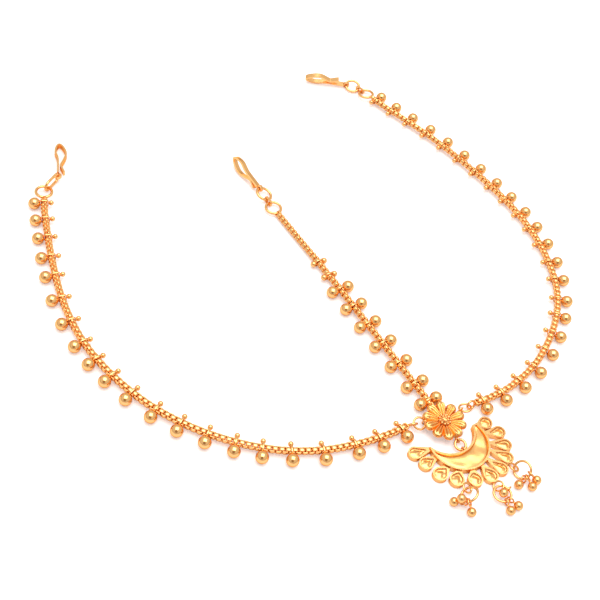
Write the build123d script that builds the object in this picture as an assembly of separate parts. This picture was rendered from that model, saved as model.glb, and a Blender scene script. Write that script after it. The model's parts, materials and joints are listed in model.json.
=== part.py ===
"""Maang tikka (three-chain head ornament) in gold-plated brass, lying flat.

Millimetres, +Z up, origin at the middle of the footprint on the surface it lies on.
The crown chain runs along +Y, the two side chains sweep out to -X and +X.
All places in the tables are measured from the flower's centre.
"""
from build123d import *
import os
from math import acos, atan2, cos, degrees, radians, sin, tan

os.makedirs("parts", exist_ok=True)

# ---------------------------------------------------------------- driving sizes
FLOWER_AT = Vector(0.03, -61.24, 0)      # the flower's centre in the part's frame

BALL_RADIUS = 2.0                       # big ball of a charm, which rests on the floor
SMALL_BALL_RADIUS = 0.85
CHAIN_HEIGHT = BALL_RADIUS              # height of the chains' centre line
CLEARANCE = 0.1                         # play between loose pieces
RING_PLAY = 0.3                         # a round wire at a link's end wall

LINK_LENGTH = 2.2                       # box link, outside
LINK_WIDTH = 2.2
LINK_STRIP = 0.9                        # width of the link's flat strip
LINK_WALL = 0.3
LINK_CORNER = 0.75
END_STRETCH = 0.5                       # links that hold a thick ring are longer
END_LINK_LENGTH = LINK_LENGTH + END_STRETCH

COLLAR_LENGTH = 1.7                     # square collar that carries a charm's balls
COLLAR_WALL = 0.2
COLLAR_INSIDE = LINK_WIDTH + 3 * CLEARANCE
COLLAR_OUTSIDE = COLLAR_INSIDE + 2 * COLLAR_WALL
BIG_BALL_REACH = 3.2                    # ball centre from the chain's centre line
SMALL_BALL_REACH = 2.33
PAIR_REACH = 3.1                        # equal pairs on the crown chain
SMALL_PAIR_RADIUS = 1.05
SMALL_PAIR_REACH = 2.05

RING_RADIUS = 2.65                      # large jump rings, to the wire's centre
RING_WIRE = 0.95
CONNECTOR_LENGTH = 3.9                  # long box link between two rings
CONNECTOR_WIDTH = 2.15
CONNECTOR_WALL = 0.35
CONNECTOR_STRIP = 0.75
CONNECTOR_PLAY = 0.35
FLOWER_RING_RADIUS = 1.875
FLOWER_LINK_RADIUS = 1.4
CROWN_RING_RADIUS = 1.15
FINE_WIRE = 0.7
LINKED_PITCH = 2.35                     # between the middles of the two rings at the flower
RING_ROLL = 20.0                        # the flower ring leans one way, its link the other
LINK_ROLL = -65.0
LOOP_RADIUS = 0.85                      # soldered loops behind the flower
LOOP_WIRE = 0.5
LOOP_HEIGHT = 1.9

FLOWER_CENTRE = (0.5, 0.1)
LEFT_LOOP = (-4.73, 2.83, LOOP_HEIGHT)
RIGHT_LOOP = (8.3, 1.35, LOOP_HEIGHT)
CROWN_LOOP = (0.8, 3.25, LOOP_HEIGHT)
BAIL_HEIGHT = 1.65
BAIL = (0.65, -6.75, BAIL_HEIGHT)
PETALS = 10
PETAL_OFFSET = 137.0                    # angle of the first petal
PETAL_TIP = 6.95
PETAL_LOBE = 1.6                        # radius of a petal's round end
PETAL_ROOT = (1.2, 0.45)                # distance from the centre, radius
PETAL_AXIS_HEIGHT = 2.65
PETAL_UNDERSIDE = 2.9
CUP_RADIUS = 2.6                        # hollow back that the flower rests on
DOME_RADIUS = 1.9
DOME_HEIGHT = 2.8
GRAIN_RADIUS = 0.42
GRAINS = 8

CRESCENT_OUTER = ((0.4, -7.8), 9.75)    # centre, radius
CRESCENT_INNER = ((-0.4, -1.9), 8.95)
HORN_CUT = -4.9                         # the right horn ends here
CRESCENT_HEIGHT = 2.3
CRESCENT_RIM = 0.6
CRESCENT_DISH = 0.8
BEZEL_HEIGHT = 1.7
BEZEL_NECK = 0.45
BEZEL_RIM = 0.45
BEZEL_DISH = 0.7
BEZEL_HUB = (0.7, -7.95)                # the bezels fan out round this point
# angle of the round end, its distance from the hub, its radius, angle of the neck
BEZELS = (
    (166.0, 15.0, 2.15, 165.0), (183.5, 13.8, 2.15, 184.0), (205.5, 13.4, 2.3, 211.0),
    (228.0, 12.9, 2.3, 232.0), (253.5, 12.8, 2.3, 255.0), (276.5, 13.6, 2.3, 277.5),
    (295.0, 14.5, 2.1, 296.5), (313.0, 14.9, 2.1, 317.0), (330.5, 14.5, 2.1, 333.5),
    (349.5, 14.1, 2.1, 355.0), (9.5, 12.3, 2.2, 15.5),
)
NECK_DISTANCE = 9.6

PENDANT_RING_AT = (0.6, -8.5)
PENDANT_RING_RADIUS = 1.75
PENDANT_RING_WIRE = 0.85
PENDANT_EYE_HEIGHT = 1.1

DROP_RING_WIRE = 0.75
DROP_BALL_RADIUS = 1.4
DROP_LOOP_RADIUS = 1.05
DROP_LOOP_WIRE = 0.5
DROP_NECK = 0.12                        # between a ball and its loop
EYE_RADIUS = 1.5
EYE_WIRE = 0.6
EYE_HEIGHT = 1.2
EYE_SLACK = 0.05                        # a drop ring hangs at the far side of its eye
# name, eye centre, way the ring hangs, ring's lean from flat, how far round it meets the eye,
# eye's lean from flat, balls as (place round the ring, heading, height of the ball's middle)
DROPS = (
    ("left", (-6.95, -21.3), 220.5, 40.0, 25.0, 25.0,
     ((145.0, 160.0, 1.41), (191.0, 251.0, 1.41), (170.0, 154.5, 3.97))),
    ("middle", (1.95, -25.3), 257.0, 181.5, 0.5, -35.0,
     ((181.0, 256.0, 1.41), (150.0, 289.5, 1.41), (71.0, 191.0, 2.56))),
    ("right", (10.6, -22.5), 274.5, 46.0, 29.5, 25.0,
     ((147.0, 195.5, 1.41), (171.5, 263.5, 1.41), (202.5, 303.5, 1.41))),
)

HOOK_LENGTH = 16.4                      # curl centre to the top of the bow
HOOK_STRIP = 1.8
HOOK_WALL = 0.65
HOOK_CURL_INSIDE = 0.75
HOOK_CURL_WALL = 0.46
HOOK_CURL_WIDTH = 1.0
# Centre line of the bow: share of the way up the hook, offset from the shaft
HOOK_BOW = ((0.44, 0.0), (0.79, -0.85), (0.975, 0.4), (0.81, 2.3), (0.62, 2.6))
HOOK_THROAT = 1.1                       # offset where the tongue comes nearest the shaft
HOOK_TONGUE_WAY = (-1.0, 0.4)
# Hand-bent, so each differs: share of the way up to the throat, tongue's end as share and offset
CROWN_HOOK_BEND = (0.38, (0.12, 1.6))
RIGHT_HOOK_BEND = (0.42, (0.21, 2.4))
LEFT_HOOK_BEND = (0.34, (0.08, 2.1))

# Beyond the chains' ends: where rings and hooks meet, and how they lean
CROWN_RING_LEAN = 14.0
CROWN_HOOK_AT = (1.7, 109.36, 2.2)
CROWN_HOOK_WAY = (-0.45, 15.0, 1.35)
CROWN_HOOK_ROLL = -160.0
RIGHT_RING_FAR = (68.73, 140.18, 1.12)
RIGHT_HOOK_RING_NEAR = (68.24, 141.81, 1.12)
RIGHT_RING_LEAN = -12.0
RIGHT_HOOK_AT = (64.7, 145.5, 1.35)
RIGHT_HOOK_WAY = (-13.2, 8.8, 0.5)
RIGHT_HOOK_ROLL = -12.0
LEFT_RING_MEET = (-64.6, 139.55, 1.75)   # far side of the left end ring
LEFT_OVAL_HEADING = 31.0
LEFT_OVAL_REACH = 2.45
LEFT_OVAL_LENGTH = 8.3
LEFT_OVAL_HEIGHT = 4.3
LEFT_HOOK_WAY = (6.7, 14.05, -0.9)
LEFT_HOOK_ROLL = 90.0

# --------------------------------------------------------------------- routes
# Side chains: points of the centre line, all at the chain's height.
LEFT_ROUTE = (
    (-11.25, 4.4), (-13.8, 4.3), (-18.3, 4.6), (-26.0, 5.6), (-39.0, 8.9), (-53.0, 16.5),
    (-66.0, 29.0), (-75.5, 43.5), (-81.0, 59.0), (-83.5, 75.0), (-82.0, 92.0), (-77.5, 109.0),
    (-73.5, 121.0), (-70.9, 128.3), (-69.3, 132.2), (-68.2, 134.6),
)
RIGHT_ROUTE = (
    (15.05, 1.1), (17.6, 0.8), (22.1, 0.5), (30.0, 0.8), (43.5, 3.9), (59.0, 12.5),
    (71.0, 23.5), (79.0, 39.0), (83.0, 56.0), (83.0, 73.0), (81.0, 90.0), (78.0, 106.0),
    (73.8, 119.5), (71.3, 127.0), (70.1, 131.2), (69.6, 134.0),
)
FIRST_CHARM = 1.8                       # from the chain's start
CHARM_LEAN = 3.0                        # big balls trail a little towards the flower
END_LINK_REACH = 0.75                   # middle of an end link beyond the chain's end
LEFT_GAPS = (8.0, 8.0, 10.0, 9.5, 8.5, 8.0, 8.5, 8.5, 8.5, 9.0, 8.5, 7.5, 7.5, 9.0, 9.5, 9.5,
             8.0, 8.5, 8.0, 7.5)
RIGHT_GAPS = (7.5, 8.5, 8.5, 9.0, 8.5, 8.5, 7.5, 9.0, 8.0, 8.5, 8.0, 7.5, 8.0, 8.0, 8.5, 8.5,
              8.5, 8.5, 8.5, 8.0, 8.0)
# Crown chain: x, y, height of the centre line
CROWN_ROUTE = (
    (0.9, 6.1, 1.68), (0.95, 7.0, 1.68), (1.0, 8.5, 2.0), (1.2, 24.7, 2.0), (1.4, 42.0, 2.0),
    (1.6, 59.5, 2.0), (1.65, 61.5, 1.94), (1.7, 63.5, 1.8), (1.75, 65.5, 1.7), (1.8, 68.5, 1.64),
    (1.9, 71.6, 1.6), (1.85, 77.0, 1.45), (1.8, 84.0, 1.3), (1.7, 96.8, 1.16),
)
CROWN_LINKS = 77
CROWN_PAIRS = (8.7, 15.9, 24.7, 33.4, 42.1, 50.3, 58.3)
CROWN_SMALL_PAIRS = (65.1, 71.6)

UP = Vector(0, 0, 1)
nodes = {}


# -------------------------------------------------------------------- helpers
def save(name, shape):
    """Move a node to its place in the part's frame and keep it for writing."""
    nodes[name] = Pos(*FLOWER_AT) * shape


def heading(angle):
    return Vector(cos(radians(angle)), sin(radians(angle)), 0)


def set_along(shape, origin, along, strip):
    """Local X goes along, local Z along strip (squared up to it)."""
    along = Vector(*along).normalized()
    strip = Vector(*strip)
    strip = (strip - along * strip.dot(along)).normalized()
    return Plane(origin=origin, x_dir=along, z_dir=strip) * shape


def wire_ring(centre, normal, radius, wire):
    return Plane(origin=centre, z_dir=normal) * Torus(radius, wire / 2)


def ring_between(near, far, lean, radius, wire):
    """Ring through two points, rolled by lean degrees about the line between them.
    Points closer than a diameter leave its middle to the left of that line."""
    near, far = Vector(*near), Vector(*far)
    along = (far - near).normalized()
    level = UP.cross(along).normalized()
    sideways = level * cos(radians(lean)) + along.cross(level) * sin(radians(lean))
    half = (far - near).length / 2
    offset = max(radius ** 2 - half ** 2, 0) ** 0.5
    return wire_ring((near + far) / 2 + sideways * offset, along.cross(sideways), radius, wire)


def rod(start, end, radius):
    way = end - start
    return Plane(origin=(start + end) / 2, z_dir=way) * Cylinder(radius, way.length)


def rolled(along, roll):
    """Level direction across a heading, rolled about it."""
    level = UP.cross(along).normalized()
    return level * cos(radians(roll)) + along.cross(level) * sin(radians(roll))


def box_link(length=LINK_LENGTH, width=LINK_WIDTH, wall=LINK_WALL, strip=LINK_STRIP):
    """Closed link bent from flat strip, its loop in local XY."""
    outline = RectangleRounded(length, width, LINK_CORNER)
    hole = RectangleRounded(length - 2 * wall, width - 2 * wall, LINK_CORNER - wall)
    return extrude(outline - hole, amount=strip / 2, both=True)


def charm(big_radius, big_reach, small_radius, small_reach, lean=0.0):
    """Square collar along local X, with its big ball on +Y and its small one on -Y."""
    collar = Box(COLLAR_LENGTH, COLLAR_OUTSIDE, COLLAR_OUTSIDE)
    bore = Box(COLLAR_LENGTH + 1, COLLAR_INSIDE, COLLAR_INSIDE)
    for ball in (pear_ball(big_radius, big_reach), pear_ball(small_radius, -small_reach)):
        collar += Rot(0, 0, lean) * ball
    return collar - bore


def pear_ball(radius, reach):
    """Ball with a cone that runs in to the collar's wall."""
    side = 1 if reach > 0 else -1
    wall = COLLAR_OUTSIDE / 2 - COLLAR_WALL / 2
    touch = abs(reach) - radius * 0.55
    touch_radius = radius * (1 - 0.55 ** 2) ** 0.5
    neck_radius = 0.42 * radius + 0.05
    depth = touch - wall
    neck = Location((0, side * (wall + depth / 2), 0), (-90 * side, 0, 0)) * Cone(
        neck_radius, touch_radius, depth)
    return Pos(0, reach, 0) * Sphere(radius) + neck


def rounded_path(points):
    """Straight runs joined by tangent arcs, each as large as its runs allow."""
    points = [Vector(*p) for p in points]
    radii = []
    for before, corner, after in zip(points, points[1:], points[2:]):
        first, second = corner - before, after - corner
        turn = radians(first.get_angle(second))
        radii.append(0.45 * min(first.length, second.length) / tan(turn / 2))
    print("arc radii", [round(r, 1) for r in radii])
    return FilletPolyline(*points, radius=radii)


# --------------------------------------------------------------- flower medallion
def petal(angle):
    """Round-ended lobe, flat underneath, lying along its radius."""
    lobe_at = PETAL_TIP - PETAL_LOBE
    root_at, root_radius = PETAL_ROOT
    tilt = acos((PETAL_LOBE - root_radius) / (lobe_at - root_at))
    near = (root_at + root_radius * cos(tilt), root_radius * sin(tilt))
    far = (lobe_at + PETAL_LOBE * cos(tilt), PETAL_LOBE * sin(tilt))
    depth = far[0] - near[0]
    taper = Location((near[0] + depth / 2, 0, 0), (0, 90, 0)) * Cone(near[1], far[1], depth)
    lobe = Pos(lobe_at, 0, 0) * Sphere(PETAL_LOBE) + taper
    under = Pos(PETAL_TIP / 2, 0, PETAL_UNDERSIDE - PETAL_AXIS_HEIGHT - 2) * Box(12, 8, 4)
    return Location((0, 0, PETAL_AXIS_HEIGHT), (0, 0, angle)) * (lobe - under)


def soldered_loop(centre):
    """Upright wire loop with the stub that ties it to the flower's back."""
    centre = Vector(*centre)
    out = centre - Vector(*FLOWER_CENTRE, centre.Z)
    reach, out = out.length, out.normalized()
    stub_length = reach - LOOP_RADIUS - CUP_RADIUS + 0.6
    stub = Plane(origin=centre - out * (LOOP_RADIUS + stub_length / 2), z_dir=out) * Cylinder(
        LOOP_WIRE / 2 + 0.1, stub_length)
    return wire_ring(centre, UP.cross(out), LOOP_RADIUS, LOOP_WIRE) + stub


def flower_medallion():
    flower = Pos(0, 0, PETAL_UNDERSIDE / 2 + 0.1) * Cylinder(CUP_RADIUS, PETAL_UNDERSIDE + 0.2)
    for i in range(PETALS):
        flower += petal(PETAL_OFFSET + i * 360 / PETALS)
    flower += Pos(0, 0, DOME_HEIGHT) * Sphere(DOME_RADIUS) - Pos(0, 0, 0.8) * Box(6, 6, 4)
    for i in range(GRAINS):
        spot = heading(i * 360 / GRAINS) * 1.25 + UP * (DOME_HEIGHT + 1.45)
        flower += Pos(*spot) * Sphere(GRAIN_RADIUS)
    flower += Pos(0, 0, DOME_HEIGHT + DOME_RADIUS) * Sphere(GRAIN_RADIUS + 0.15)
    flower = Pos(*FLOWER_CENTRE) * flower
    for place in (LEFT_LOOP, RIGHT_LOOP, CROWN_LOOP, BAIL):
        flower += soldered_loop(place)
    return flower


# --------------------------------------------------------------- crescent pendant
def teardrop(bulb, neck, bulb_radius, neck_radius):
    """Two circles and the straight flanks that touch both."""
    run = neck - bulb
    tilt = acos((bulb_radius - neck_radius) / run.length)
    base = atan2(run.Y, run.X)
    corners = []
    for centre, radius, sides in ((bulb, bulb_radius, (1, -1)), (neck, neck_radius, (-1, 1))):
        for side in sides:
            spot = centre + heading(degrees(base + side * tilt)) * radius
            corners.append((spot.X, spot.Y))
    flank = make_face(Polyline(*corners, close=True))
    return flank + Pos(*bulb) * Circle(bulb_radius) + Pos(*neck) * Circle(neck_radius)


def bezel_axis(row):
    """Centres of a teardrop's round end and of its neck."""
    bulb_angle, distance, _, neck_angle = row
    hub = Vector(*BEZEL_HUB)
    return hub + heading(bulb_angle) * distance, hub + heading(neck_angle) * NECK_DISTANCE


def crescent_outline(inset):
    (outer_at, outer_radius), (inner_at, inner_radius) = CRESCENT_OUTER, CRESCENT_INNER
    moon = Pos(*outer_at) * Circle(outer_radius - inset) - Pos(*inner_at) * Circle(inner_radius + inset)
    return moon - Pos(0, HORN_CUT - inset + 5) * Rectangle(40, 10)


def crescent_pendant():
    body = extrude(crescent_outline(0), amount=CRESCENT_HEIGHT)
    body -= Pos(0, 0, CRESCENT_HEIGHT - CRESCENT_DISH) * extrude(
        crescent_outline(CRESCENT_RIM), amount=CRESCENT_DISH + 1)
    for row in BEZELS:
        bulb, neck = bezel_axis(row)
        body += extrude(teardrop(bulb, neck, row[2], BEZEL_NECK), amount=BEZEL_HEIGHT)
    for row in BEZELS:
        bulb, neck = bezel_axis(row)
        inner_neck = bulb + (neck - bulb) * 0.62
        dish = teardrop(bulb, inner_neck, row[2] - BEZEL_RIM, BEZEL_NECK - 0.15)
        body -= Pos(0, 0, BEZEL_HEIGHT - BEZEL_DISH) * extrude(dish, amount=BEZEL_DISH + 1)
    body += wire_ring((PENDANT_RING_AT[0] - 0.1, PENDANT_RING_AT[1] - PENDANT_RING_RADIUS,
                       PENDANT_EYE_HEIGHT), (1, 0, 0), LOOP_RADIUS - 0.05, LOOP_WIRE)
    for _, place, hang, _, _, eye_lean, _ in DROPS:
        eye = eye_centre(place, eye_lean)
        normal = UP * cos(radians(eye_lean)) + UP.cross(heading(hang)) * sin(radians(eye_lean))
        rim = nearest_rim(eye)
        inward = (rim - eye).normalized()
        inward = (inward - normal * inward.dot(normal)).normalized()
        body += wire_ring(eye, normal, EYE_RADIUS, EYE_WIRE)
        body += rod(eye + inward * EYE_RADIUS, rim, EYE_WIRE / 2)
    return body


def eye_centre(place, lean):
    return Vector(*place, EYE_HEIGHT + 0.4 * abs(sin(radians(lean))))


def nearest_rim(eye):
    """Spot inside the wall of the bezel next to an eye."""
    spots = []
    for row in BEZELS:
        bulb, _ = bezel_axis(row)
        out = Vector(eye.X, eye.Y, 0) - bulb
        spots.append(bulb + out.normalized() * (row[2] - BEZEL_RIM / 2) + UP * BEZEL_HEIGHT * 0.6)
    return min(spots, key=lambda spot: (spot - eye).length)


# ------------------------------------------------------------------ drop clusters
def drop_cluster(name, place, hang, lean, meet, eye_lean, balls):
    """Jump ring through the pendant's eye and the three balls that share it."""
    along = heading(hang)
    level = UP.cross(along)
    rise = UP * sin(radians(lean)) + level * cos(radians(lean))
    eye = eye_centre(place, eye_lean)

    def around(angle):
        return (along * cos(radians(angle)) + rise * sin(radians(angle))) * -RING_RADIUS

    centre = eye + along * EYE_SLACK - around(meet)
    save(f"{name}_drop_ring", wire_ring(centre, along.cross(rise), RING_RADIUS, DROP_RING_WIRE))
    for number, (spot, way, height) in enumerate(balls, start=1):
        held = centre + around(spot)
        tangent = (along * sin(radians(spot)) - rise * cos(radians(spot))).normalized()
        slack = DROP_LOOP_RADIUS - (DROP_LOOP_WIRE + DROP_RING_WIRE) / 2 - 0.2
        reach = DROP_LOOP_RADIUS + DROP_LOOP_WIRE / 2 + DROP_NECK + DROP_BALL_RADIUS + slack
        sink = (height - held.Z) / reach
        down = heading(way) * (1 - sink ** 2) ** 0.5 + UP * sink
        ball_at = held + down * reach
        normal = (tangent - down * tangent.dot(down)).normalized()
        length = reach - slack - DROP_LOOP_RADIUS - 0.4
        neck = Plane(origin=ball_at - down * (0.4 + length / 2), z_dir=down) * Cylinder(0.34, length)
        save(f"{name}_drop_ball_{number}",
             Plane(origin=ball_at, z_dir=down) * Sphere(DROP_BALL_RADIUS) + neck
             + wire_ring(held + down * slack, normal, DROP_LOOP_RADIUS, DROP_LOOP_WIRE))


# --------------------------------------------------------------------- side chains
def side_path(route):
    return rounded_path([(x, y, CHAIN_HEIGHT) for x, y in route])


def end_holds(path, start_wire, end_wire):
    """Where each end link sits and where the ring it holds passes through it."""
    ends = []
    for place, outward, wire in ((path @ 0, path % 0 * -1, start_wire), (path @ 1, path % 1, end_wire)):
        seat = place + outward * END_LINK_REACH
        room = END_LINK_LENGTH / 2 - LINK_WALL - wire / 2 - RING_PLAY
        ends.append((seat, outward, seat + outward * room))
    return ends


def chain_tube(path, ends, rolls):
    """Round envelope of a side chain, with the links that hold its rings."""
    section = Plane(origin=path @ 0, z_dir=path % 0) * Circle(LINK_WIDTH / 2)
    tube = sweep(section, path=path)
    print("tube length", round(path.length, 2), "volume ratio",
          round(tube.volume / (section.area * path.length), 4))
    for (seat, outward, _), roll in zip(ends, rolls):
        tube += set_along(box_link(END_LINK_LENGTH), seat, outward, rolled(outward, roll))
    return tube


def charm_string(path, gaps, side):
    """A charm at each gap along the path, big ball outwards."""
    piece = charm(BALL_RADIUS, BIG_BALL_REACH, SMALL_BALL_RADIUS, SMALL_BALL_REACH,
                  CHARM_LEAN * side)
    distance = FIRST_CHARM
    string = []
    for gap in (0.0, *gaps):
        distance += gap
        share = distance / path.length
        string.append(set_along(piece, path @ share, path % share * side, UP))
    print("last charm at", round(distance, 2), "of", round(path.length, 2))
    return Compound(string)


def flower_rings(name, hold, loop):
    """Two rings that join a side chain to its loop on the flower."""
    start = hold
    along = (Vector(*loop) - start).normalized()
    far = start + along * 2 * FLOWER_LINK_RADIUS
    save(f"{name}_flower_link", ring_between(start, far, LINK_ROLL, FLOWER_LINK_RADIUS, FINE_WIRE))
    wire = start + along * (FLOWER_LINK_RADIUS + LINKED_PITCH - FLOWER_RING_RADIUS)
    far = wire + along * 2 * FLOWER_RING_RADIUS
    save(f"{name}_flower_ring", ring_between(wire, far, RING_ROLL, FLOWER_RING_RADIUS, FINE_WIRE))
    print(name, "ring misses its loop by", round((far - Vector(*loop)).length, 3))


# --------------------------------------------------------------------- crown chain
def route_point(distance):
    """Point at a distance along the crown route's runs."""
    points = [Vector(*p) for p in CROWN_ROUTE]
    for here, there in zip(points, points[1:]):
        run = there - here
        if distance <= run.length:
            return here + run * (distance / run.length)
        distance -= run.length
    return points[-1]


def route_length():
    points = [Vector(*p) for p in CROWN_ROUTE]
    return sum((b - a).length for a, b in zip(points, points[1:]))


def crown_direction(distance):
    half = LINK_LENGTH / 2
    total = route_length()
    ahead = route_point(min(distance + half, total))
    behind = route_point(max(distance - half, 0))
    return (ahead - behind).normalized()


def crown_chain():
    link = box_link()
    pitch = route_length() / (CROWN_LINKS - 1)
    links = []
    for i in range(CROWN_LINKS):
        along = crown_direction(i * pitch)
        flat = UP if i % 2 else UP.cross(along)
        outward = {0: -1, CROWN_LINKS - 1: 1}.get(i, 0)
        place = route_point(i * pitch) + along * outward * END_STRETCH / 2
        links.append(set_along(box_link(END_LINK_LENGTH) if outward else link, place, along, flat))
    print("crown link pitch", round(pitch, 3))
    return Compound(links)


def crown_charms():
    big = charm(BALL_RADIUS, PAIR_REACH, BALL_RADIUS, PAIR_REACH)
    small = charm(SMALL_PAIR_RADIUS, SMALL_PAIR_REACH, SMALL_PAIR_RADIUS, SMALL_PAIR_REACH)
    total = route_length()
    string = []
    for piece, places in ((big, CROWN_PAIRS), (small, CROWN_SMALL_PAIRS)):
        for y in places:
            distance = total * (y - CROWN_ROUTE[0][1]) / (CROWN_ROUTE[-1][1] - CROWN_ROUTE[0][1])
            string.append(set_along(piece, route_point(distance), crown_direction(distance), UP))
    return Compound(string)


# ----------------------------------------------------------------------- hooks
def hook(throat, tongue):
    """Flat strip: a curl for the ring, the shaft, a bow at the top and a flared tongue.
    Local X runs up the hook, local Y from the shaft to the tongue, local Z across the strip."""
    bends = (*HOOK_BOW, (throat, HOOK_THROAT), tongue)
    bow = [(share * HOOK_LENGTH, offset) for share, offset in bends]
    line = Polyline((HOOK_CURL_INSIDE + HOOK_CURL_WALL / 2, 0), bow[0])
    line += Spline(*bow, tangents=((1, 0), HOOK_TONGUE_WAY))
    strip = sweep(Plane(origin=line @ 0, z_dir=line % 0) * Rectangle(HOOK_STRIP, HOOK_WALL), path=line)
    curl = Cylinder(HOOK_CURL_INSIDE + HOOK_CURL_WALL, HOOK_CURL_WIDTH) - Cylinder(
        HOOK_CURL_INSIDE, HOOK_CURL_WIDTH + 1)
    return strip + curl


def oval_ring(length, height, wire):
    """Ring with straight sides, its length along local X and its height along local Y."""
    path = SlotOverall(length - wire, height - wire).wire()
    return sweep(Plane(origin=path @ 0, z_dir=path % 0) * Circle(wire / 2), path=path)


def connector(middle, along, roll):
    link = box_link(CONNECTOR_LENGTH, CONNECTOR_WIDTH, CONNECTOR_WALL, CONNECTOR_STRIP)
    return set_along(link, middle, along, rolled(along, roll))


# ------------------------------------------------------------------ build the nodes
def build_flower_side():
    save("flower_medallion", flower_medallion())
    save("crescent_pendant", crescent_pendant())
    x, y = PENDANT_RING_AT
    save("pendant_ring", ring_between((x, y - PENDANT_RING_RADIUS, PENDANT_EYE_HEIGHT),
                                      (x, y + PENDANT_RING_RADIUS, BAIL_HEIGHT), 0,
                                      PENDANT_RING_RADIUS, PENDANT_RING_WIRE))
    for row in DROPS:
        drop_cluster(*row)


def build_crown():
    save("crown_chain", crown_chain())
    save("crown_charms", crown_charms())
    room = LINK_LENGTH / 2 + END_STRETCH - LINK_WALL - FINE_WIRE / 2 - RING_PLAY
    wire = route_point(0) - crown_direction(0) * room
    far = (wire.X, wire.Y - 2 * CROWN_RING_RADIUS, LOOP_HEIGHT)
    save("crown_flower_ring", ring_between(wire, far, 0, CROWN_RING_RADIUS, FINE_WIRE))
    end, along = route_point(route_length()), Vector(0, 1, 0)
    first = end + along * (LINK_LENGTH / 2 + END_STRETCH - LINK_WALL - RING_WIRE / 2 - RING_PLAY)
    ring_pair("crown", first, first + along * 2 * RING_RADIUS + UP * 0.14, along, 0.0, CROWN_RING_LEAN,
              CROWN_HOOK_AT, CROWN_HOOK_WAY, CROWN_HOOK_ROLL, CROWN_HOOK_BEND)


def ring_pair(name, start, far, along, first_lean, second_lean, hook_at, *hook_lie):
    """End ring, connector, hook ring and hook beyond a chain's last link."""
    save(f"{name}_end_ring", ring_between(start, far, first_lean, RING_RADIUS, RING_WIRE))
    room = CONNECTOR_LENGTH / 2 - CONNECTOR_WALL - RING_WIRE / 2 - CONNECTOR_PLAY
    save(f"{name}_connector", connector(far + along * room, along, second_lean / 2))
    near = far + along * 2 * room
    save(f"{name}_hook_ring", ring_between(hook_at, near, -second_lean, RING_RADIUS, RING_WIRE))
    save(f"{name}_hook", hung_hook(hook_at, *hook_lie))
    print(name, "hook ring chord", round((Vector(*hook_at) - near).length, 3))


def hung_hook(place, way, roll, bend):
    """Hook with its curl at a place, its tongue side rolled from straight up."""
    along = Vector(*way).normalized()
    return set_along(hook(*bend), place, along, rolled(along, roll + 180))


def build_left():
    path = side_path(LEFT_ROUTE)
    ends = end_holds(path, FINE_WIRE, RING_WIRE)
    save("left_chain", chain_tube(path, ends, (LINK_ROLL, 0)))
    save("left_charms", charm_string(path, LEFT_GAPS, 1))
    flower_rings("left", ends[0][2], LEFT_LOOP)
    save("left_end_ring", ring_between(ends[1][2], LEFT_RING_MEET, 0, RING_RADIUS, RING_WIRE))
    along = heading(LEFT_OVAL_HEADING)
    middle = Vector(*LEFT_RING_MEET) + along * LEFT_OVAL_REACH
    middle.Z = LEFT_OVAL_HEIGHT / 2
    save("left_hook_ring", set_along(oval_ring(LEFT_OVAL_LENGTH, LEFT_OVAL_HEIGHT, RING_WIRE),
                                     middle, along, UP.cross(along) * -1))
    curl = middle + along * (LEFT_OVAL_LENGTH - RING_WIRE) / 2
    save("left_hook", hung_hook(curl, LEFT_HOOK_WAY, LEFT_HOOK_ROLL, LEFT_HOOK_BEND))


def build_right():
    path = side_path(RIGHT_ROUTE)
    ends = end_holds(path, FINE_WIRE, RING_WIRE)
    save("right_chain", chain_tube(path, ends, (LINK_ROLL, 0)))
    save("right_charms", charm_string(path, RIGHT_GAPS, -1))
    flower_rings("right", ends[0][2], RIGHT_LOOP)
    along = (Vector(*RIGHT_HOOK_RING_NEAR) - Vector(*RIGHT_RING_FAR)).normalized()
    ring_pair("right", ends[1][2], Vector(*RIGHT_RING_FAR), along, 0, RIGHT_RING_LEAN,
              RIGHT_HOOK_AT, RIGHT_HOOK_WAY, RIGHT_HOOK_ROLL, RIGHT_HOOK_BEND)


build_flower_side()
build_crown()
build_left()
build_right()
box = Compound(list(nodes.values())).bounding_box()
print("parts", len(nodes), "from", box.min, "to", box.max)
print("middle", round((box.min.X + box.max.X) / 2, 3), round((box.min.Y + box.max.Y) / 2, 3))
for name, shape in nodes.items():
    span = shape.bounding_box()
    print(f"{name:22} solids {len(shape.solids())} z {span.min.Z:.2f} to {span.max.Z:.2f}")
    export_step(shape, f"parts/{name}.step")
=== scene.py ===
"""Maang tikka: polished gold-plated brass, lying on a white floor.

Metres in the part's frame, +Z up. Sizes below are in millimetres and turned into metres by MM.
Places in the tables are measured from the flower's centre, FLOWER_AT.
"""

import bmesh
import bpy
import json
from math import acos, atan2, cos, pi, radians, sin, sqrt
from mathutils import Matrix, Vector

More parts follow.
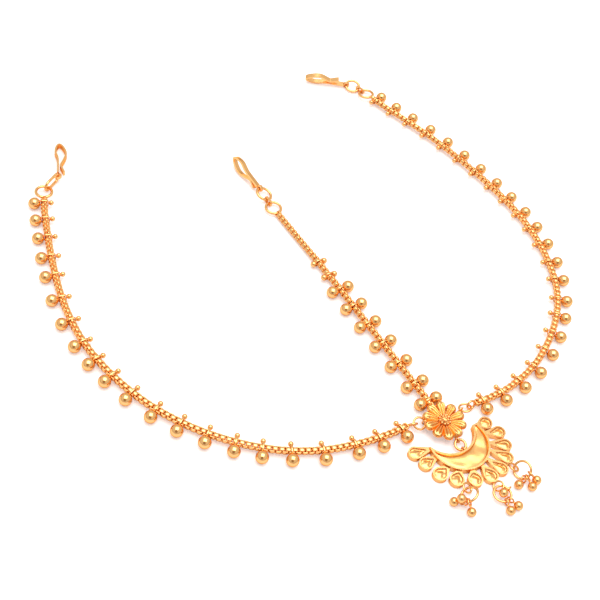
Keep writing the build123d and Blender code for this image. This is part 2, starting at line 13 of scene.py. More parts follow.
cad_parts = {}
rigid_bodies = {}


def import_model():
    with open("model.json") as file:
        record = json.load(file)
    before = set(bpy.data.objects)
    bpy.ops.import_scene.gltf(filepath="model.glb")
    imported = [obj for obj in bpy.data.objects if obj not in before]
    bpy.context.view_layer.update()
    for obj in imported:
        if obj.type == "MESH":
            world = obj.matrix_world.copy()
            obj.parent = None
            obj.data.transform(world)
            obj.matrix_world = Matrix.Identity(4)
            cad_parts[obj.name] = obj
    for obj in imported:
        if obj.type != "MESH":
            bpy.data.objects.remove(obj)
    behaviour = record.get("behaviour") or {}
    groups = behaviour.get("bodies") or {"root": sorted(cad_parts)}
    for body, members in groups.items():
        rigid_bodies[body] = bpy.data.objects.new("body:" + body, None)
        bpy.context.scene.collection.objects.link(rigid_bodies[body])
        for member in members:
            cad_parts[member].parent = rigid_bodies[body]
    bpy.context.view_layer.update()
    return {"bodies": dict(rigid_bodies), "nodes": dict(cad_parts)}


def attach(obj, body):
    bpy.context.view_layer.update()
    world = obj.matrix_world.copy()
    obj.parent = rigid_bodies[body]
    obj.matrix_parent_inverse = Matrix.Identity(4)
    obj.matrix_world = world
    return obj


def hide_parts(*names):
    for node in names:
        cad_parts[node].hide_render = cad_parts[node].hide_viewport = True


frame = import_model()
BODY = next(iter(frame["bodies"]))

# ---------------------------------------------------------------- driving sizes
MM = 0.001
UP = Vector((0, 0, 1))
FLOWER_AT = Vector((0.03, -61.24, 0.0))
WELD = 0.002                            # points nearer than this become one

CHAIN_HEIGHT = 2.0
LINK_LENGTH = 1.82
LINK_WIDTH = 2.2
LINK_STRIP = 1.3
LINK_WALL = 0.42
LINK_PITCH = 0.98
LINK_CORNER = 0.27                      # roundness of a link's corners, as a share of its width
LINK_EDGE = 0.32                        # bevel of its edges, as a share of its wall
LINK_ROLL = 45                          # turn in degrees of a chain that stands on its edge
# a side chain lies flat for its first ROLL_ONSET / ROLL_RATE, then turns onto its edge
ROLL_RATE = 3
ROLL_ONSET = 1.6

COLLAR = 2.9                            # outside of the band that carries a charm's balls
BAND = 0.6
BAND_WALL = 0.2
NECK_FROM = 1.3                         # where a ball's neck leaves the band
NECK_SEAT = 0.55                        # shares of the ball's radius: how deep the neck sits in it,
NECK_THIN = 0.36                        # radius at the band, on top of NECK_LEAST,
NECK_THICK = 0.8                        # and radius at the ball
NECK_LEAST = 0.05
FIRST_CHARM = 1.8
CHARM_LEAN = 3.0
# ball radius and reach on the outer side, then on the inner side
SIDE_CHARM = (2.0, 3.2, 0.85, 2.33)
CROWN_CHARM = (2.0, 3.1, 2.0, 3.1)
SMALL_CROWN_CHARM = (1.05, 2.05, 1.05, 2.05)
LEFT_GAPS = (8.0, 8.0, 10.0, 9.5, 8.5, 8.0, 8.5, 8.5, 8.5, 9.0, 8.5, 7.5, 7.5, 9.0, 9.5, 9.5,
             8.0, 8.5, 8.0, 7.5)
RIGHT_GAPS = (7.5, 8.5, 8.5, 9.0, 8.5, 8.5, 7.5, 9.0, 8.0, 8.5, 8.0, 7.5, 8.0, 8.0, 8.5, 8.5,
              8.5, 8.5, 8.5, 8.0, 8.0)
CROWN_ROUTE = (
    (0.9, 6.1, 1.68), (0.95, 7.0, 1.68), (1.0, 8.5, 2.0), (1.2, 24.7, 2.0), (1.4, 42.0, 2.0),
    (1.6, 59.5, 2.0), (1.65, 61.5, 1.94), (1.7, 63.5, 1.8), (1.75, 65.5, 1.7), (1.8, 68.5, 1.64),
    (1.9, 71.6, 1.6), (1.85, 77.0, 1.45), (1.8, 84.0, 1.3), (1.7, 96.8, 1.16),
)
CROWN_PAIRS = (8.7, 15.9, 24.7, 33.4, 42.1, 50.3, 58.3)
CROWN_SMALL_PAIRS = (65.1, 71.6)
# Control points of the side chains' centre lines
LEFT_ROUTE = (
    (-11.25, 4.4), (-13.8, 4.3), (-18.3, 4.6), (-26.0, 5.6), (-39.0, 8.9), (-53.0, 16.5),
    (-66.0, 29.0), (-75.5, 43.5), (-81.0, 59.0), (-83.5, 75.0), (-82.0, 92.0), (-77.5, 109.0),
    (-73.5, 121.0), (-70.9, 128.3), (-69.3, 132.2), (-68.2, 134.6),
)
RIGHT_ROUTE = (
    (15.05, 1.1), (17.6, 0.8), (22.1, 0.5), (30.0, 0.8), (43.5, 3.9), (59.0, 12.5),
    (71.0, 23.5), (79.0, 39.0), (83.0, 56.0), (83.0, 73.0), (81.0, 90.0), (78.0, 106.0),
    (73.8, 119.5), (71.3, 127.0), (70.1, 131.2), (69.6, 134.0),
)

# Camera, in millimetres from the flower's centre
CAMERA_AT = (-178.95, -109.5, 274.9)
CAMERA_TARGET = (-12.03, 61.55, 0.0)
CAMERA_ROLL = 14.5
LENS = 66.66

# Light, in metres and watts
LAMP_AT = (0.05, 0.06, 1.0)
LAMP_SIZE = 0.95
LAMP_POWER = 8.5
LAMP_COLOR = (1.0, 0.99, 0.96)
WORLD_STRENGTH = 0.82
HORIZON_COLOR = (0.66, 0.62, 0.58, 1.0)
WHITE = (1.0, 1.0, 1.0, 1.0)
WHITE_FROM = 0.5                        # height in the sky where it turns white
DARK_PATCH_WAY = (-0.5, -0.51, 0.7)
DARK_PATCH_EDGE = (0.86, 0.97)          # cosines where the patch starts and is darkest
DARK_PATCH_COLOR = (0.42, 0.29, 0.19, 1.0)
FLOOR_HALF = 4.0                        # from its middle to an edge
FLOOR_DROP = 0.0001
FLOOR_COLOR = (0.92, 0.87, 0.885, 1.0)
FLOOR_GLOW = (1.0, 0.985, 0.985, 1.0)
FLOOR_GLOW_STRENGTH = 0.3               # seen by the camera alone


# -------------------------------------------------------------------- helpers
def place(x, y, z=0.0):
    """Point in metres in the part's frame, from millimetres from the flower's centre."""
    return (Vector((x, y, z)) + FLOWER_AT) * MM


def to_mesh(bm, name):
    mesh = bpy.data.meshes.new(name)
    bm.to_mesh(mesh)
    bm.free()
    return mesh


def add_object(name, data):
    obj = bpy.data.objects.new(name, data)
    bpy.context.scene.collection.objects.link(obj)
    return obj


def set_up(bm, name, material):
    """Smooth shaded object from a bmesh, in the gold slot."""
    mesh = to_mesh(bm, name)
    for face in mesh.polygons:
        face.use_smooth = True
    obj = add_object(name, mesh)
    obj.data.materials.append(material)
    return obj


def gather(parts):
    """Bmesh with the mesh of each (mesh, matrix) pair set in its place."""
    bm = bmesh.new()
    for mesh, matrix in parts:
        start = len(bm.verts)
        bm.from_mesh(mesh)
        bm.verts.ensure_lookup_table()
        bmesh.ops.transform(bm, matrix=matrix, verts=bm.verts[start:])
    return bm


def weld(bm):
    """Join doubled points and turn the faces outwards."""
    bmesh.ops.remove_doubles(bm, verts=bm.verts, dist=WELD * MM)
    bmesh.ops.recalc_face_normals(bm, faces=bm.faces)


def facing(origin, along, across):
    """Matrix whose local X goes along and local Y as near across as it can."""
    x = along.normalized()
    z = x.cross(across).normalized()
    y = z.cross(x)
    return Matrix.Translation(origin) @ Matrix((x, y, z)).transposed().to_4x4()


# ------------------------------------------------------------------- materials
TONE_SCALE = 260.0
EDGE_TINT = (0.9, 0.55, 0.3, 1.0)
DARKER = 0.1                            # how much darker the plate is in places
BUMP_DISTANCE = 0.0002


def gold(name, color, roughness, bump, bump_scale):
    """Polished gold plate with faint surface variation."""
    material = bpy.data.materials.new(name)
    material.use_nodes = True
    tree = material.node_tree
    shader = tree.nodes["Principled BSDF"]
    shader.inputs["Metallic"].default_value = 1.0
    shader.inputs["Roughness"].default_value = roughness
    shader.inputs["Specular Tint"].default_value = EDGE_TINT
    coords = tree.nodes.new("ShaderNodeTexCoord")
    noise = tree.nodes.new("ShaderNodeTexNoise")
    noise.inputs["Scale"].default_value = TONE_SCALE
    noise.inputs["Detail"].default_value = 3.0
    tree.links.new(coords.outputs["Object"], noise.inputs["Vector"])
    mix = tree.nodes.new("ShaderNodeMix")
    mix.data_type = "RGBA"
    mix.inputs["A"].default_value = (*color, 1.0)
    red, green, blue = color
    mix.inputs["B"].default_value = (
        red * (1 - DARKER * 0.5), green * (1 - DARKER), blue * (1 - DARKER), 1.0)
    tree.links.new(noise.outputs["Fac"], mix.inputs["Factor"])
    tree.links.new(mix.outputs["Result"], shader.inputs["Base Color"])
    waves = tree.nodes.new("ShaderNodeTexNoise")
    waves.inputs["Scale"].default_value = bump_scale
    waves.inputs["Detail"].default_value = 2.0
    tree.links.new(coords.outputs["Object"], waves.inputs["Vector"])
    node = tree.nodes.new("ShaderNodeBump")
    node.inputs["Strength"].default_value = bump
    node.inputs["Distance"].default_value = BUMP_DISTANCE
    tree.links.new(waves.outputs["Fac"], node.inputs["Height"])
    tree.links.new(node.outputs["Normal"], shader.inputs["Normal"])
    return material


GOLD = gold("gold plate", (1.0, 0.58, 0.23), 0.16, 0.1, 430.0)
GOLD_SATIN = gold("gold plate worked", (0.95, 0.525, 0.19), 0.24, 0.1, 420.0)
GOLD_PETAL = gold("gold plate petals", (0.96, 0.515, 0.175), 0.2, 0.04, 600.0)


# ---------------------------------------------------------------------- chains
def route_points(route):
    """Points along a smooth level curve with these control points."""
    curve = bpy.data.curves.new("route", "CURVE")
    curve.dimensions = "3D"
    curve.resolution_u = 24
    spline = curve.splines.new("NURBS")
    spline.points.add(len(route) - 1)
    for point, (x, y) in zip(spline.points, route):
        point.co = (*place(x, y, CHAIN_HEIGHT), 1.0)
    spline.order_u = 3
    spline.use_endpoint_u = True
    obj = add_object("route", curve)
    mesh = bpy.data.meshes.new_from_object(obj)
    points = [v.co.copy() for v in mesh.vertices]
    bpy.data.meshes.remove(mesh)
    bpy.data.objects.remove(obj)
    return points


def at_distances(points, distances):
    """Place and direction at each distance along a line."""
    places, walked, wanted = [], 0.0, list(distances)
    for a, b in zip(points, points[1:]):
        run = (b - a).length
        while wanted and wanted[0] <= walked + run + 1e-9:
            places.append((a + (b - a) * ((wanted.pop(0) - walked) / run), (b - a).normalized()))
        walked += run
    return places


def line_length(points):
    return sum((b - a).length for a, b in zip(points, points[1:]))


def spaced(points, pitch):
    """Places at an even pitch near the wanted one along a line, with its direction at each."""
    total = line_length(points)
    steps = round(total / (pitch * MM))
    return at_distances(points, [total * i / steps for i in range(steps + 1)])


def box_link(length, width, wall, strip):
    """Closed link bent from flat strip: loop in local XY, strip across local Z."""
    bm = bmesh.new()
    bmesh.ops.create_cube(bm, size=1.0)
    bmesh.ops.scale(bm, vec=(length * MM, width * MM, strip * MM), verts=bm.verts)
    uprights = [e for e in bm.edges if abs(e.verts[0].co.z - e.verts[1].co.z) > 0.5 * strip * MM]
    bmesh.ops.bevel(bm, geom=uprights, offset=LINK_CORNER * width * MM, segments=3, profile=0.5,
                    affect="EDGES")
    caps = [f for f in bm.faces if abs(f.normal.z) > 0.9]
    bmesh.ops.inset_individual(bm, faces=caps, thickness=wall * MM, use_even_offset=True)
    bmesh.ops.delete(bm, geom=caps, context="FACES_ONLY")
    rims = [e for e in bm.edges if e.is_boundary]
    bmesh.ops.bridge_loops(bm, edges=rims)
    edges = [e for e in bm.edges if not e.is_boundary and e.calc_face_angle(0) > radians(60)]
    bmesh.ops.bevel(bm, geom=edges, offset=LINK_EDGE * wall * MM, segments=1, profile=0.5,
                    affect="EDGES")
    return to_mesh(bm, "link")


LINK = box_link(LINK_LENGTH, LINK_WIDTH, LINK_WALL, LINK_STRIP)


def string_of(parts, name, node):
    """One object of all the parts, in the place of a node."""
    string = set_up(gather(parts), name, GOLD)
    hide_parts(node)
    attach(string, BODY)


def side_roll(share):
    """Turn of a side chain at this share of its length: flat near the flower, then on its edge."""
    return LINK_ROLL * min(1.0, max(0.0, ROLL_RATE * share - ROLL_ONSET))


def crown_roll(share):
    """Turn of the crown chain: on its edge all along."""
    return LINK_ROLL


def chain_links(name, points, roll):
    """Links each a quarter turn from the next; roll gives their turn along the chain."""
    places = spaced(points, LINK_PITCH)
    parts = []
    for i, (spot, along) in enumerate(places):
        turn = radians(roll(i / len(places)) + 90 * (i % 2))
        parts.append((LINK, facing(spot, along, UP.cross(along) * cos(turn) + UP * sin(turn))))
    string_of(parts, f"{name}_chain_links", f"{name}_chain")


# ---------------------------------------------------------------------- charms
def ball(radius, segments):
    bm = bmesh.new()
    bmesh.ops.create_uvsphere(bm, u_segments=segments, v_segments=segments // 2 + 2,
                              radius=radius * MM)
    return to_mesh(bm, "ball")


def neck(radius, reach):
    """Cone along local Z from the band to where it meets its ball, the band at the origin."""
    touch = reach - NECK_SEAT * radius
    bm = bmesh.new()
    bmesh.ops.create_cone(bm, segments=20, radius1=(NECK_THIN * radius + NECK_LEAST) * MM,
                          radius2=NECK_THICK * radius * MM, depth=(touch - NECK_FROM) * MM)
    bmesh.ops.translate(bm, vec=(0, 0, (touch + NECK_FROM) / 2 * MM), verts=bm.verts)
    return to_mesh(bm, "neck")


def charm(sizes, lean=0.0):
    """Narrow band round local X with a ball on +Y and one on -Y."""
    outer, outer_reach, inner, inner_reach = sizes
    tilt = Matrix.Rotation(radians(lean), 4, "Z")
    parts = [(box_link(COLLAR, COLLAR, BAND_WALL, BAND), Matrix.Rotation(pi / 2, 4, "Y"))]
    for radius, reach, turn in ((outer, outer_reach, -90), (inner, inner_reach, 90)):
        side = 1 if turn < 0 else -1
        parts.append((ball(radius, 28), tilt @ Matrix.Translation((0, side * reach * MM, 0))))
        parts.append((neck(radius, reach), tilt @ Matrix.Rotation(radians(turn), 4, "X")))
    return to_mesh(gather(parts), "charm")


def charms_at(points, distances, piece, side=1):
    """The charm at each distance along a line, its outer ball on the line's side."""
    return [(piece, facing(spot, along * side, UP.cross(along * side)))
            for spot, along in at_distances(points, distances)]


def side_charms(name, points, gaps, side):
    """Charms of one side chain, the first near the flower and each a gap from the last."""
    distances = [FIRST_CHARM * MM]
    for gap in gaps:
        distances.append(distances[-1] + gap * MM)
    piece = charm(SIDE_CHARM, CHARM_LEAN * side)
    string_of(charms_at(points, distances, piece, side), f"{name}_bells", f"{name}_charms")


def crown_charms(points):
    """Pairs of balls on the crown chain, at their distances up from the flower."""
    first, last = CROWN_ROUTE[0][1], CROWN_ROUTE[-1][1]
    parts = []
    for sizes, rows in ((CROWN_CHARM, CROWN_PAIRS), (SMALL_CROWN_CHARM, CROWN_SMALL_PAIRS)):
        distances = [line_length(points) * (y - first) / (last - first) for y in rows]
        parts += charms_at(points, distances, charm(sizes))
    string_of(parts, "crown_bells", "crown_charms")


left_points, right_points = route_points(LEFT_ROUTE), route_points(RIGHT_ROUTE)
crown_points = [place(*point) for point in CROWN_ROUTE]
chain_links("left", left_points, side_roll)
chain_links("right", right_points, side_roll)
chain_links("crown", crown_points, crown_roll)
side_charms("left", left_points, LEFT_GAPS, 1)
side_charms("right", right_points, RIGHT_GAPS, -1)
crown_charms(crown_points)


# ------------------------------------------------------------ flower medallion
FLOWER_CENTRE = (0.5, 0.1)
PETALS = 10
PETAL_OFFSET = 137.0                    # heading of the first petal
PETAL_ROOT = 0.9                        # distances from the flower's centre
PETAL_TIP = 6.95
PETAL_LOBE_AT = 5.3
PETAL_ROOT_HALF = 0.3                   # half widths at the root and at the lobe
PETAL_HALF_WIDTH = 1.66
PETAL_UNDERSIDE = 2.9
PETAL_ROOT_CREST = 0.45                 # rise over the underside at the root and at the lobe
PETAL_CREST = 1.15
RIB_DEPTH = 0.9
RIB_TURNS = 1.5                         # half waves of the grooves from the middle to the edge
RIB_FADE = (3.1, 3.5)                   # full near the root, gone at 3.1 / 3.5 of the way out
CUP_RADIUS = 2.6
CUP_DEPTH = 3.1
LOOPS = ((-4.73, 2.83, 1.9), (8.3, 1.35, 1.9), (0.8, 3.25, 1.9), (0.65, -6.75, 1.65))
LOOP_RADIUS = 0.85
LOOP_WIRE = 0.5
LOOP_ROD_FROM = 2.3                     # where a loop's rod starts, inside the cup
LOOP_ROD_RADIUS = 0.32
DOME_RADIUS = 1.9
DOME_HEIGHT = 2.75
GRAIN_RADIUS = 0.44
# radius of a ring of grains on the dome, how many, height
GRAIN_ROWS = ((1.72, 11, 3.8), (0.95, 6, 4.4), (0.0, 1, 4.7))


def petal():
    """Domed petal along local X, grooved towards its root and closed underneath."""
    bm = bmesh.new()
    bmesh.ops.create_grid(bm, x_segments=32, y_segments=44, size=1.0)
    lobe = PETAL_TIP - PETAL_LOBE_AT
    for vert in bm.verts:
        reach = (vert.co.x + 1) / 2
        reach = 1 - (1 - reach) ** 1.5
        across = sin(vert.co.y * pi / 2)
        out = PETAL_ROOT + (PETAL_TIP - PETAL_ROOT) * reach
        if out > PETAL_LOBE_AT:
            fall = sqrt(max(0.0, 1 - ((out - PETAL_LOBE_AT) / lobe) ** 2))
        else:
            fall = 1.0
        share = min(out / PETAL_LOBE_AT, 1.0)
        half = (PETAL_ROOT_HALF + (PETAL_HALF_WIDTH - PETAL_ROOT_HALF) * share ** 0.9) * fall
        crest = (PETAL_ROOT_CREST + (PETAL_CREST - PETAL_ROOT_CREST) * share ** 0.8) * fall ** 0.7
        groove = abs(cos(across * RIB_TURNS * pi)) ** 0.6 - 1
        ribs = RIB_DEPTH * groove * min(1.0, max(0.0, RIB_FADE[0] - RIB_FADE[1] * reach))
        rise = crest * (1 - across ** 4) ** 0.5 + ribs * (1 - across ** 2)
        vert.co = Vector((out, half * across, PETAL_UNDERSIDE + rise * (1 - across ** 8))) * MM
    bmesh.ops.remove_doubles(bm, verts=bm.verts, dist=WELD * MM)
    rim = [e for e in bm.edges if e.is_boundary]
    bmesh.ops.contextual_create(bm, geom=rim)
    return to_mesh(bm, "petal")


def ring(radius, wire):
    """Round wire ring about local Z."""
    bm = bmesh.new()
    bmesh.ops.create_circle(bm, segments=14, radius=wire / 2 * MM)
    bmesh.ops.rotate(bm, matrix=Matrix.Rotation(pi / 2, 3, "X"), verts=bm.verts)
    bmesh.ops.translate(bm, vec=(radius * MM, 0, 0), verts=bm.verts)
    bmesh.ops.spin(bm, geom=bm.verts[:] + bm.edges[:], axis=UP, cent=(0, 0, 0), angle=2 * pi,
                   steps=40)
    weld(bm)
    return to_mesh(bm, "ring")


def grain_places():
    """Places of the grains on the dome, each row turned by its radius, taken as radians."""
    for radius, count, height in GRAIN_ROWS:
        for i in range(count):
            angle = 2 * pi * i / count + radius
            yield place(FLOWER_CENTRE[0] + radius * cos(angle),
                        FLOWER_CENTRE[1] + radius * sin(angle), height)


def rod(radius, length):
    """Closed cylinder along local Z, its middle at the origin."""
    bm = bmesh.new()
    bmesh.ops.create_cone(bm, cap_ends=True, segments=40, radius1=radius * MM, radius2=radius * MM,
                          depth=length * MM)
    return to_mesh(bm, "rod")


def flower():
    """Petals, grained dome, and the cup behind them with its loops, for one node."""
    one = petal()
    hub = Matrix.Translation(place(*FLOWER_CENTRE))
    headings = [radians(PETAL_OFFSET + i * 360 / PETALS) for i in range(PETALS)]
    parts = [(one, hub @ Matrix.Rotation(heading, 4, "Z")) for heading in headings]
    petals = set_up(gather(parts), "flower_petals", GOLD_PETAL)

    grain = ball(GRAIN_RADIUS, 14)
    parts = [(ball(DOME_RADIUS, 32), Matrix.Translation(place(*FLOWER_CENTRE, DOME_HEIGHT)))]
    parts += [(grain, Matrix.Translation(spot)) for spot in grain_places()]
    centre = set_up(gather(parts), "flower_centre", GOLD)

    cup = rod(CUP_RADIUS, CUP_DEPTH)
    loop = ring(LOOP_RADIUS, LOOP_WIRE)
    parts = [(cup, Matrix.Translation(place(*FLOWER_CENTRE, CUP_DEPTH / 2)))]
    for spot in LOOPS:
        at, level_hub = place(*spot), place(*FLOWER_CENTRE, spot[2])
        out = (at - level_hub).normalized()
        parts.append((loop, facing(at, out, UP)))
        length = (at - level_hub).length / MM - LOOP_RADIUS - LOOP_ROD_FROM
        turn = out.to_track_quat("Z", "Y").to_matrix().to_4x4()
        middle = at - out * (LOOP_RADIUS + length / 2) * MM
        parts.append((rod(LOOP_ROD_RADIUS, length), Matrix.Translation(middle) @ turn))
    back = set_up(gather(parts), "flower_back", GOLD)
    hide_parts("flower_medallion")
    for piece in (petals, centre, back):
        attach(piece, BODY)


# ------------------------------------------------------------ crescent pendant
OUTER_ARC = ((0.4, -7.8), 9.75)
INNER_ARC = ((-0.4, -1.9), 8.95)
CRESCENT_RIM = 0.6
CRESCENT_BEVEL = 0.1
HORN_CUT = -4.9
FILL_BELOW_HORNS = 0.5                  # the fill ends this far under the cut of the horns
FILL_HEIGHT = 1.53
FILL_SWELL = 0.25
FILL_WAVE = 0.11
FILL_RIPPLE = 0.008
BEZEL_HUB = (0.7, -7.95)
# angle of the round end, its distance from the hub, its radius, angle of the neck
BEZELS = (
    (166.0, 15.0, 2.15, 165.0), (183.5, 13.8, 2.15, 184.0), (205.5, 13.4, 2.3, 211.0),
    (228.0, 12.9, 2.3, 232.0), (253.5, 12.8, 2.3, 255.0), (276.5, 13.6, 2.3, 277.5),
    (295.0, 14.5, 2.1, 296.5), (313.0, 14.9, 2.1, 317.0), (330.5, 14.5, 2.1, 333.5),
    (349.5, 14.1, 2.1, 355.0), (9.5, 12.3, 2.2, 15.5),
)
NECK_DISTANCE = 9.6
BEZEL_WALL = 0.43
DISH_NECK = 0.3                         # radius of a bowl's narrow end
DISH_RUN = 0.62                         # how far the bowl runs towards the neck
DISH_OVERLAP = 1.015                    # reach into the wall, as a factor
DISH_FLOOR = 1.02
DISH_RIDGE = 0.13
DISH_RISE_FROM = 0.78                   # share of the way out where the bowl starts to climb
DISH_RISE = 9.0
DISH_HAMMER = 0.05


def polar(centre, radius, angle):
    return Vector((centre[0] + radius * cos(radians(angle)), centre[1] + radius * sin(radians(angle))))


def teardrop_reach(angle, length, radius):
    """Distance from the round end's middle to the outline, angle measured from the neck's side."""
    touch = acos((radius - DISH_NECK) / length)
    angle = abs(angle)
    if angle >= touch:
        return radius
    flank = radius / cos(touch - angle)
    inside = DISH_NECK ** 2 - (length * sin(angle)) ** 2
    return min(flank, length * cos(angle) + sqrt(inside)) if inside > 0 else flank


def dish(bm, bulb_angle, bulb_distance, radius, neck_angle):
    """Hammered bowl of one teardrop bezel, highest in its middle and at its edge."""
    bulb = polar(BEZEL_HUB, bulb_distance, bulb_angle)
    run = (polar(BEZEL_HUB, NECK_DISTANCE, neck_angle) - bulb) * DISH_RUN
    base = atan2(run.y, run.x)
    made = bmesh.ops.create_grid(bm, x_segments=56, y_segments=14, size=1.0)
    for vert in made["verts"]:
        angle, share = vert.co.x * pi, (vert.co.y + 1) / 2
        reach = teardrop_reach(angle, run.length, radius - BEZEL_WALL) * share * DISH_OVERLAP
        spot = bulb + Vector((cos(base + angle), sin(base + angle))) * reach
        ridge = DISH_RIDGE * (1 + cos(min(share / DISH_RISE_FROM, 1.0) * pi))
        height = DISH_FLOOR + ridge + DISH_RISE * max(share - DISH_RISE_FROM, 0.0) ** 2
        height += DISH_HAMMER * sin(spot.x * 3.1 + bulb_angle) * sin(spot.y * 2.7)
        vert.co = place(spot.x, spot.y, height)


def crescent_fill(bm):
    """Gently swelling sheet between the crescent's rims."""
    (outer, outer_radius), (inner, inner_radius) = OUTER_ARC, INNER_ARC
    outer_radius -= CRESCENT_RIM
    inner_radius += CRESCENT_RIM
    gap = Vector(inner) - Vector(outer)
    along = (outer_radius ** 2 - inner_radius ** 2 + gap.length_squared) / (2 * gap.length)
    rise = sqrt(outer_radius ** 2 - along ** 2)
    middle = Vector(outer) + gap.normalized() * along
    side = Vector((-gap.y, gap.x)).normalized()
    tips = (middle + side * rise, middle - side * rise)
    spans = []
    for centre in (outer, inner):
        left, right = (atan2(t.y - centre[1], t.x - centre[0]) % (2 * pi) for t in tips)
        if right < left:
            right += 2 * pi
        spans.append((left, right))
    made = bmesh.ops.create_grid(bm, x_segments=110, y_segments=18, size=1.0)
    for vert in made["verts"]:
        share, across = (vert.co.x + 1) / 2, (vert.co.y + 1) / 2
        ends = []
        for (left, right), centre, radius in zip(spans, (outer, inner), (outer_radius, inner_radius)):
            angle = left + (right - left) * share
            ends.append(Vector(centre) + Vector((cos(angle), sin(angle))) * radius)
        spot = ends[1].lerp(ends[0], across)
        spot.y = min(spot.y, HORN_CUT - FILL_BELOW_HORNS)
        edge = abs(2 * across - 1)
        wave = FILL_WAVE * sin(spot.x * 0.55 + 1.0) * sin(spot.y * 0.9 + 0.6)
        ripple = FILL_RIPPLE * sin(spot.x * 1.9 + spot.y)
        height = FILL_HEIGHT + FILL_SWELL * (1 - edge ** 4) + (wave + ripple)
        vert.co = place(spot.x, spot.y, height)


def pendant_fills():
    """Bowls of the bezels and the crescent's sheet, set inside the solid's walls."""
    dishes, fill = bmesh.new(), bmesh.new()
    for row in BEZELS:
        dish(dishes, *row)
    crescent_fill(fill)
    for bm, name in ((dishes, "bezel_dishes"), (fill, "crescent_fill")):
        weld(bm)
        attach(set_up(bm, name, GOLD_SATIN), BODY)


flower()
pendant_fills()


# -------------------------------------------------------- finish the CAD pieces
def finish_node(name, bevel):
    """Gold, smooth shading and, where a width is given, rounded edges for a node's mesh."""
    obj = frame["nodes"][name]
    obj.data.materials.clear()
    obj.data.materials.append(GOLD)
    for face in obj.data.polygons:
        face.use_smooth = True
    if bevel:
        modifier = obj.modifiers.new("rounded edges", "BEVEL")
        modifier.width = bevel * MM
        modifier.segments = 2
        modifier.limit_method = "ANGLE"
        modifier.angle_limit = radians(40)
    modifier = obj.modifiers.new("shading", "WEIGHTED_NORMAL")
    modifier.keep_sharp = True


for node in frame["nodes"]:
    finish_node(node, CRESCENT_BEVEL if node == "crescent_pendant" else 0.0)


# ------------------------------------------------------------- floor and light
def white_floor():
    """Matt white floor with a faint glow of its own for the camera."""
    bm = bmesh.new()
    bmesh.ops.create_grid(bm, x_segments=1, y_segments=1, size=FLOOR_HALF)
    floor = add_object("floor", to_mesh(bm, "floor"))
    floor.location.z = -FLOOR_DROP
    material = bpy.data.materials.new("white floor")
    material.use_nodes = True
    tree = material.node_tree
    tree.nodes.clear()
    out = tree.nodes.new("ShaderNodeOutputMaterial")
    path = tree.nodes.new("ShaderNodeLightPath")
    matte = tree.nodes.new("ShaderNodeBsdfDiffuse")
    matte.inputs["Color"].default_value = FLOOR_COLOR
    glow = tree.nodes.new("ShaderNodeEmission")
    glow.inputs["Color"].default_value = FLOOR_GLOW
    glow.inputs["Strength"].default_value = FLOOR_GLOW_STRENGTH
    seen = tree.nodes.new("ShaderNodeAddShader")
    tree.links.new(matte.outputs[0], seen.inputs[0])
    tree.links.new(glow.outputs[0], seen.inputs[1])
    pick = tree.nodes.new("ShaderNodeMixShader")
    tree.links.new(path.outputs["Is Camera Ray"], pick.inputs["Fac"])
    tree.links.new(matte.outputs[0], pick.inputs[1])
    tree.links.new(seen.outputs[0], pick.inputs[2])
    tree.links.new(pick.outputs[0], out.inputs["Surface"])
    floor.data.materials.append(material)


def overhead_lamp():
    """Square lamp aimed at the middle of the part."""
    data = bpy.data.lights.new("overhead", "AREA")
    data.shape = "RECTANGLE"
    data.size = data.size_y = LAMP_SIZE
    data.energy = LAMP_POWER
    data.color = LAMP_COLOR
    lamp = add_object("overhead", data)
    lamp.location = LAMP_AT
    lamp.rotation_euler = (-Vector(LAMP_AT)).to_track_quat("-Z", "Y").to_euler()


def set_stop(stop, position, color):
    stop.position = position
    stop.color = color


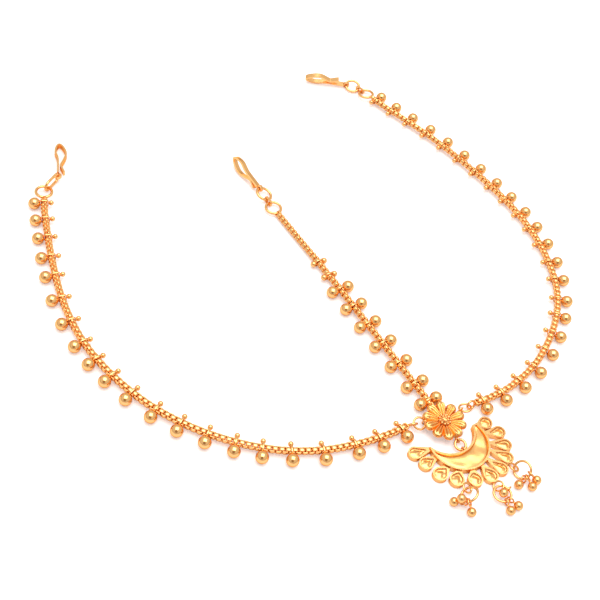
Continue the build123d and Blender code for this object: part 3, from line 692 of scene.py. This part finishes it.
def world_light():
    """Bright room, a little dimmer near the ground, with a darker patch round the camera."""
    world = bpy.data.worlds.new("studio")
    bpy.context.scene.world = world
    world.use_nodes = True
    tree = world.node_tree
    tree.nodes.clear()
    out = tree.nodes.new("ShaderNodeOutputWorld")
    sky = tree.nodes.new("ShaderNodeBackground")
    coords = tree.nodes.new("ShaderNodeTexCoord")
    split = tree.nodes.new("ShaderNodeSeparateXYZ")
    ramp = tree.nodes.new("ShaderNodeValToRGB")
    tree.links.new(coords.outputs["Generated"], split.inputs[0])
    tree.links.new(split.outputs["Z"], ramp.inputs["Fac"])
    set_stop(ramp.color_ramp.elements[0], 0.0, HORIZON_COLOR)
    set_stop(ramp.color_ramp.elements[1], WHITE_FROM, WHITE)
    toward = tree.nodes.new("ShaderNodeVectorMath")
    toward.operation = "DOT_PRODUCT"
    toward.inputs[1].default_value = DARK_PATCH_WAY
    tree.links.new(coords.outputs["Generated"], toward.inputs[0])
    patch = tree.nodes.new("ShaderNodeValToRGB")
    tree.links.new(toward.outputs["Value"], patch.inputs["Fac"])
    patch.color_ramp.interpolation = "EASE"
    set_stop(patch.color_ramp.elements[0], DARK_PATCH_EDGE[0], WHITE)
    set_stop(patch.color_ramp.elements[1], DARK_PATCH_EDGE[1], DARK_PATCH_COLOR)
    mix = tree.nodes.new("ShaderNodeMix")
    mix.data_type = "RGBA"
    mix.blend_type = "MULTIPLY"
    mix.inputs["Factor"].default_value = 1.0
    tree.links.new(ramp.outputs["Color"], mix.inputs["A"])
    tree.links.new(patch.outputs["Color"], mix.inputs["B"])
    tree.links.new(mix.outputs["Result"], sky.inputs["Color"])
    sky.inputs["Strength"].default_value = WORLD_STRENGTH
    tree.links.new(sky.outputs[0], out.inputs["Surface"])


def set_camera():
    data = bpy.data.cameras.new("camera")
    data.sensor_width = 36.0
    data.lens = LENS
    data.clip_start = 0.01
    camera = add_object("camera", data)
    eye, target = place(*CAMERA_AT), place(*CAMERA_TARGET)
    forward = (target - eye).normalized()
    level = forward.cross(UP).normalized()
    upright = level.cross(forward)
    roll = radians(CAMERA_ROLL)
    right = level * cos(roll) + upright * sin(roll)
    up = upright * cos(roll) - level * sin(roll)
    camera.matrix_world = Matrix.Translation(eye) @ Matrix((right, up, -forward)).transposed().to_4x4()
    bpy.context.scene.camera = camera


white_floor()
overhead_lamp()
world_light()
set_camera()

scene = bpy.context.scene
scene.render.resolution_x = 600
scene.render.resolution_y = 600
scene.view_settings.view_transform = "Standard"
scene.render.engine = "CYCLES"
scene.cycles.samples = 160
scene.cycles.use_denoising = True
